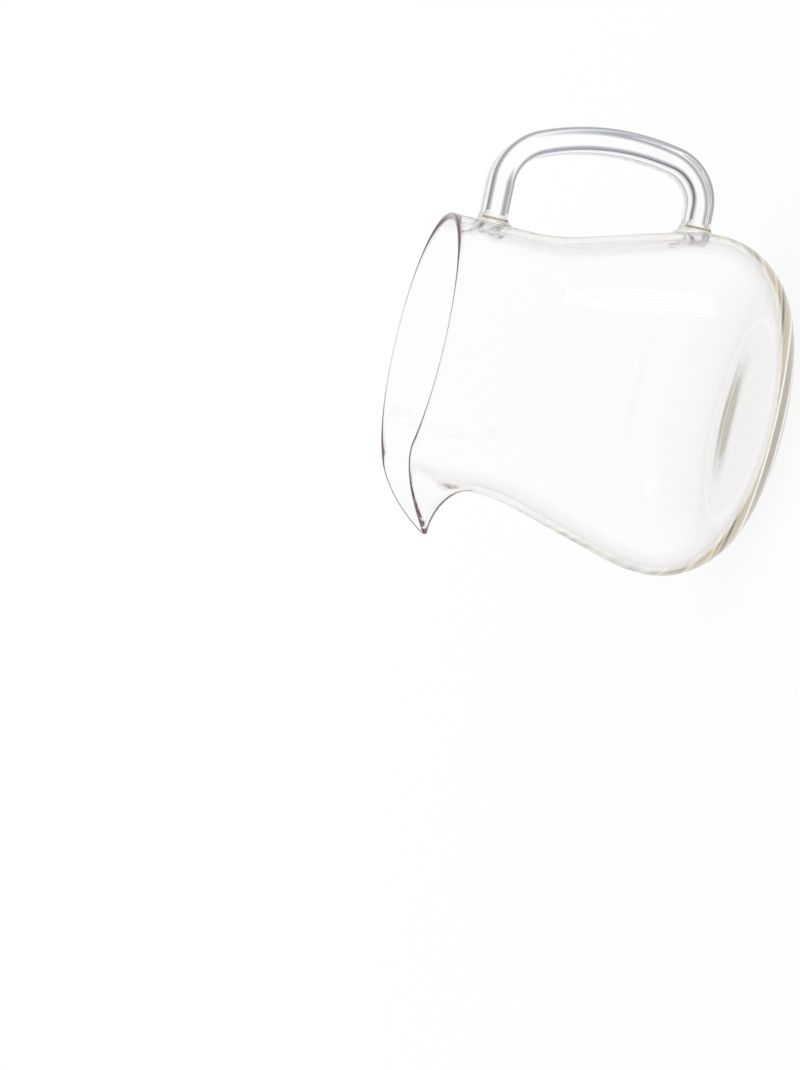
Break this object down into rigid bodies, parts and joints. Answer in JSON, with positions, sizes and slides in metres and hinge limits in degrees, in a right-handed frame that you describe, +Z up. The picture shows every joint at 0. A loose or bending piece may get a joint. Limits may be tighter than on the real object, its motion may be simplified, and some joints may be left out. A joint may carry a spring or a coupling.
{
  "type": "glass coffee carafe",
  "caption": "Clear glass coffee carafe: a wide-mouthed jug with a rounded belly, a drawn pouring spout and a bent glass handle melted onto its side.",
  "frame": {"origin": "on the jug's axis, in the plane that it stands on", "axes": "+Z up the jug's axis, +X towards the handle, -X towards the spout"},
  "size_m": [0.1493, 0.1182, 0.1195],
  "materials": {
    "clear_glass": "polished"
  },
  "bodies": {
    "root": {"jug": "clear_glass", "handle": "clear_glass", "upper_seal": "clear_glass", "lower_seal": "clear_glass"}
  },
  "joints": []
}
